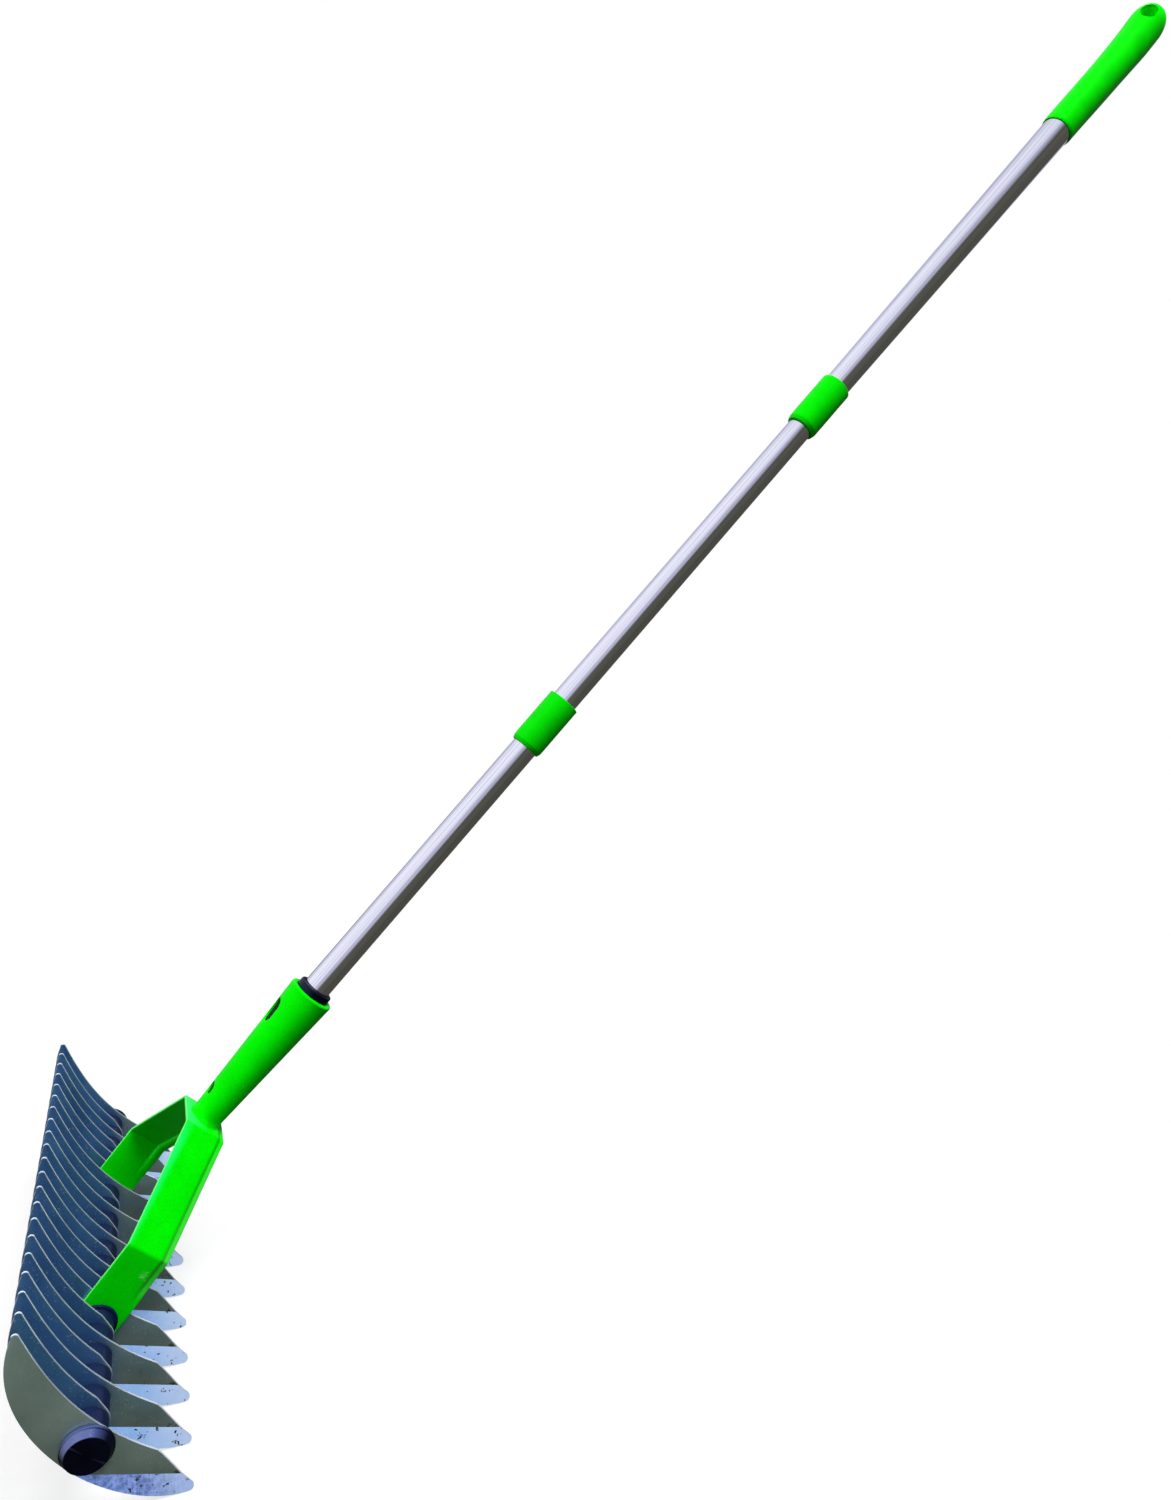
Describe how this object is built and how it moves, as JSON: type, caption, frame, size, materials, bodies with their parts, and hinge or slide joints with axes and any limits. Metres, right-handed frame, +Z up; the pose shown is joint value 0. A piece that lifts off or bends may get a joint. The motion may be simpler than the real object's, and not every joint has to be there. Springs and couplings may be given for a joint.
{
  "type": "lawn thatch rake",
  "caption": "Hand rake with a row of crescent steel blades on one axle, kept apart by sleeves, under a forked yoke and socket, with a long handle of screw-together tube sections.",
  "frame": {"origin": "where the handle's axis meets the underside of the yoke's top plate", "axes": "+X along the axle, towards the side the blades are ground on; +Y from the head towards the user, under the handle; +Z up, with the handle 45.8 degrees above the ground as it is held to work"},
  "size_m": [0.3964, 1.0161, 1.0722],
  "materials": {
    "green_paint": "glossy lime green powder coat over steel, worn at edges",
    "green_plastic": "moulded lime green plastic, semi-gloss",
    "black_plastic": "black moulded plastic, semi-gloss",
    "blade_steel": "bright rolled spring steel with sheared edges and a ground bevel",
    "tube_steel": "polished stainless tube, drawn lengthwise",
    "zinc_steel": "zinc plated",
    "grey_plastic": "dark glass-filled plastic"
  },
  "bodies": {
    "head": {"blade_full_01": "blade_steel", "blade_full_02": "blade_steel", "blade_full_03": "blade_steel", "blade_full_04": "blade_steel", "blade_full_05": "blade_steel", "blade_full_06": "blade_steel", "blade_full_07": "blade_steel", "blade_full_08": "blade_steel", "blade_full_09": "blade_steel", "blade_full_10": "blade_steel", "blade_full_11": "blade_steel", "blade_half_01": "blade_steel", "blade_half_02": "blade_steel", "blade_half_03": "blade_steel", "blade_half_04": "blade_steel", "blade_half_05": "blade_steel", "blade_half_06": "blade_steel", "blade_half_07": "blade_steel", "blade_half_08": "blade_steel", "blade_half_09": "blade_steel", "blade_half_10": "blade_steel", "sleeve_01": "black_plastic", "sleeve_02": "black_plastic", "sleeve_03": "black_plastic", "sleeve_04": "black_plastic", "sleeve_05": "black_plastic", "sleeve_06": "black_plastic", "sleeve_07": "black_plastic", "sleeve_08": "black_plastic", "sleeve_09": "black_plastic", "sleeve_10": "black_plastic", "sleeve_11": "black_plastic", "sleeve_12": "black_plastic", "sleeve_13": "black_plastic", "sleeve_14": "black_plastic", "sleeve_15": "black_plastic", "sleeve_16": "black_plastic", "sleeve_17": "black_plastic", "sleeve_18": "black_plastic", "leg_sleeve_left": "black_plastic", "leg_sleeve_right": "black_plastic", "axle_rod": "zinc_steel", "nut_left": "zinc_steel", "nut_right": "zinc_steel", "end_cap_left": "black_plastic", "end_cap_right": "black_plastic", "yoke": "green_paint", "socket": "green_paint", "socket_insert": "black_plastic"},
    "lower_screw": {"screw_plug_lower": "grey_plastic"},
    "lower_section": {"tube_lower": "tube_steel", "collar_lower": "green_plastic"},
    "middle_screw": {"screw_plug_middle": "grey_plastic"},
    "middle_section": {"tube_middle": "tube_steel", "collar_upper": "green_plastic"},
    "upper_screw": {"screw_plug_upper": "grey_plastic"},
    "upper_section": {"tube_upper": "tube_steel", "grip": "green_plastic"}
  },
  "joints": [
    {"name": "lower_slide", "type": "slide", "parent": "head", "child": "lower_screw", "axis": [0, 0.6972, 0.7169], "range_m": [0, 0.02]},
    {"name": "lower_turn", "type": "hinge", "parent": "lower_screw", "child": "lower_section", "pos_m": [0, 0.07132, 0.07334], "axis": [0, 0.6972, 0.7169], "range_deg": [0, 1800]},
    {"name": "middle_slide", "type": "slide", "parent": "lower_section", "child": "middle_screw", "axis": [0, 0.6972, 0.7169], "range_m": [0, 0.02]},
    {"name": "middle_turn", "type": "hinge", "parent": "middle_screw", "child": "middle_section", "pos_m": [0, 0.2972, 0.30562], "axis": [0, 0.6972, 0.7169], "range_deg": [0, 1800]},
    {"name": "upper_slide", "type": "slide", "parent": "middle_section", "child": "upper_screw", "axis": [0, 0.6972, 0.7169], "range_m": [0, 0.02]},
    {"name": "upper_turn", "type": "hinge", "parent": "upper_screw", "child": "upper_section", "pos_m": [0, 0.55097, 0.56658], "axis": [0, 0.6972, 0.7169], "range_deg": [0, 1800]}
  ],
  "couplings": [
    {"joint": "lower_slide", "follows": "lower_turn", "m_per_rad": 0.000636},
    {"joint": "middle_slide", "follows": "middle_turn", "m_per_rad": 0.000636},
    {"joint": "upper_slide", "follows": "upper_turn", "m_per_rad": 0.000636}
  ]
}
